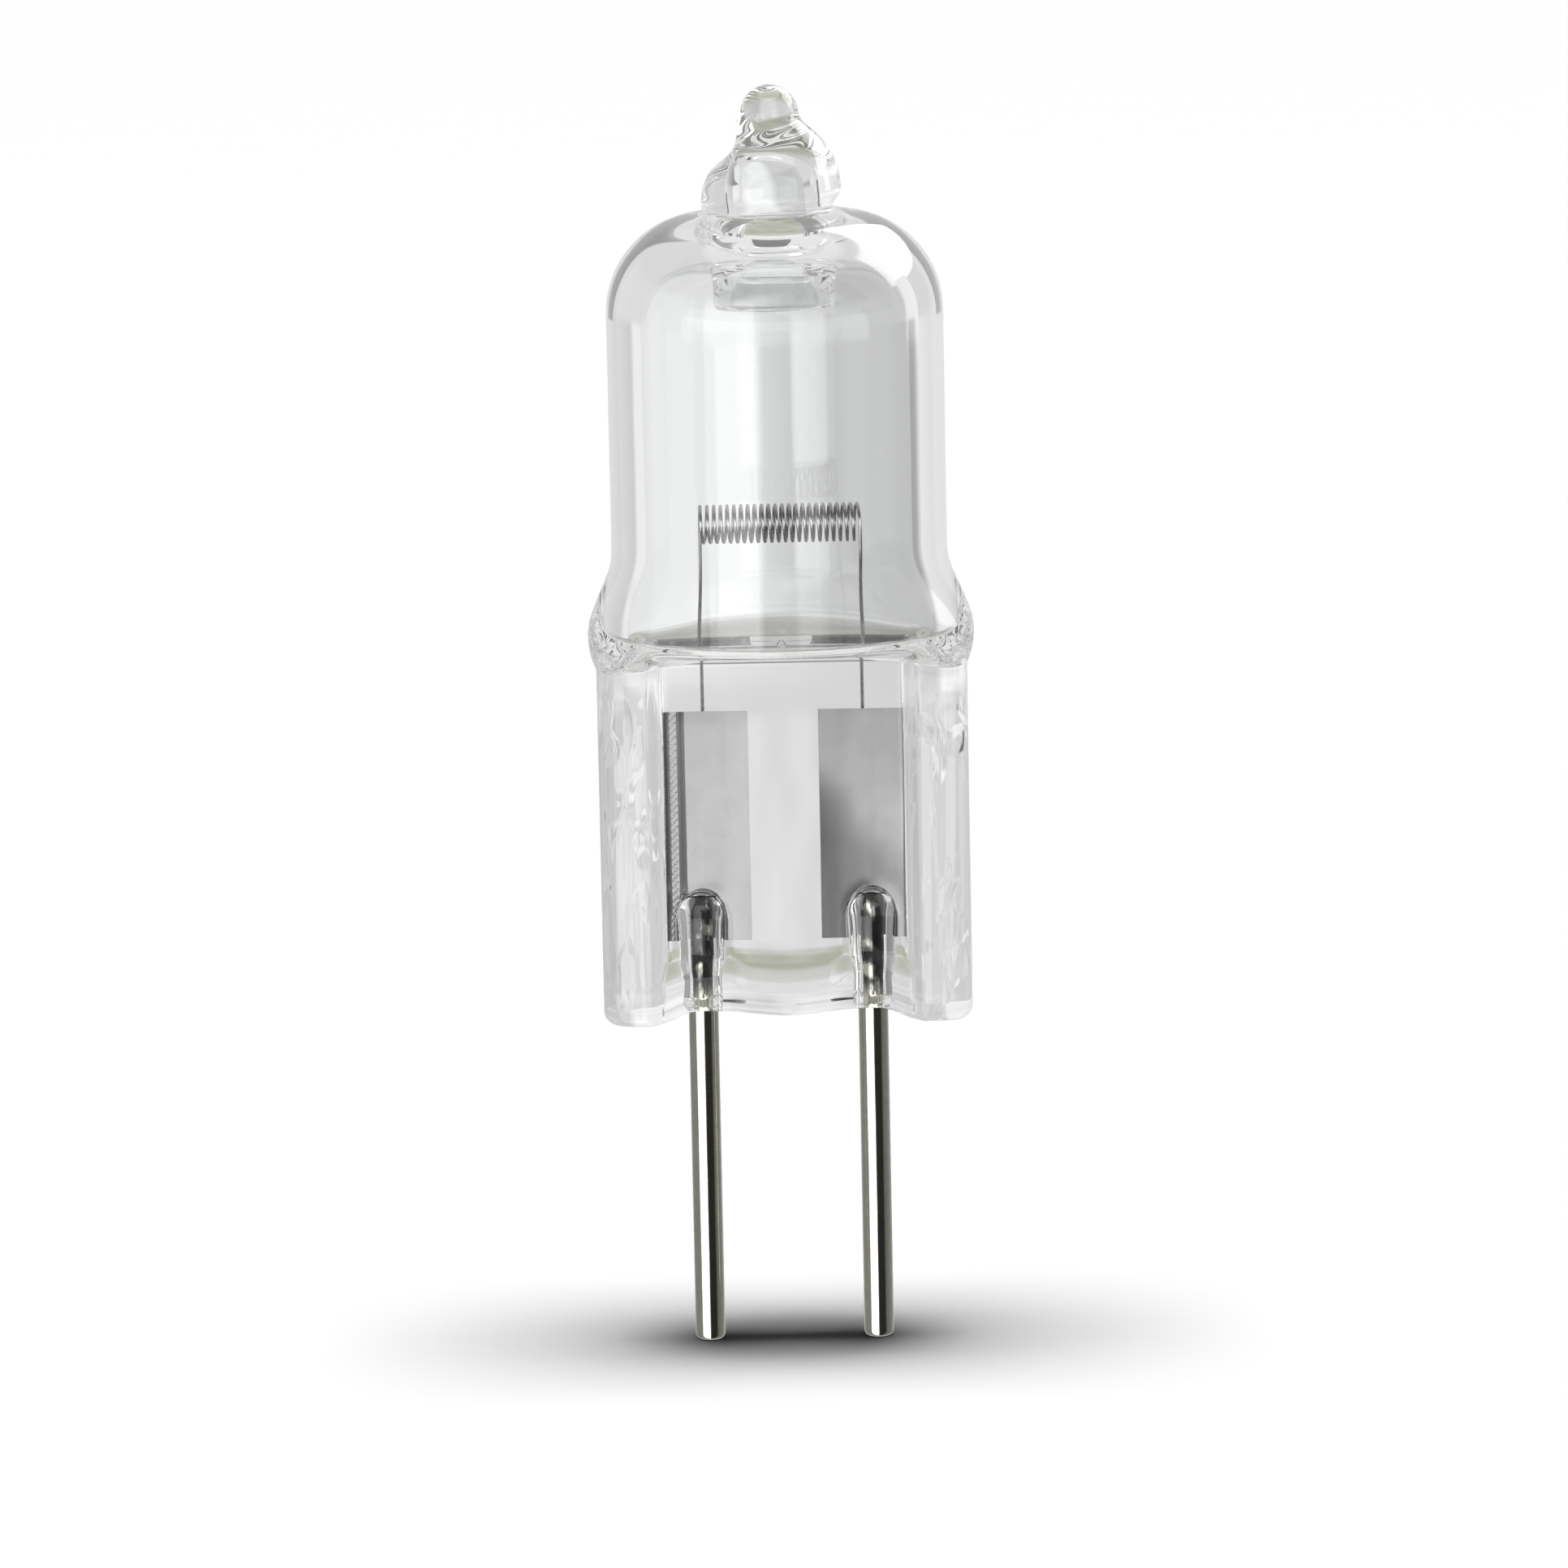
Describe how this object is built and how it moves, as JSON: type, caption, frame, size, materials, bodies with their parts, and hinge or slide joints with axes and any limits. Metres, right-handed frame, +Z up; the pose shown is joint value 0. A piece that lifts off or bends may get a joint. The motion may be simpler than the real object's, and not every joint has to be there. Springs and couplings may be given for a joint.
{
  "type": "halogen capsule bulb",
  "caption": "Clear quartz halogen capsule bulb with a coiled filament, a domed capsule with a sealed exhaust tip, and a flat pinch seal that holds foils and straight contact pins",
  "frame": {"origin": "midway between the two pins, at the level where they leave the glass of the pinch", "axes": "+Z up along the bulb towards the exhaust tip, X across the flat pinch from the left pin to the right pin, Y through the thickness of the pinch with the front at -Y"},
  "size_m": [0.009, 0.0078, 0.0297],
  "materials": {
    "quartz": "clear fire-polished fused quartz",
    "tungsten": "satin grey tungsten wire",
    "foil": "satin grey molybdenum foil, faintly wrinkled",
    "pin": "bright drawn molybdenum wire"
  },
  "bodies": {
    "root": {"quartz_envelope": "quartz", "tungsten_filament": "tungsten", "left_foil": "foil", "right_foil": "foil", "left_pin": "pin", "right_pin": "pin"}
  },
  "joints": []
}
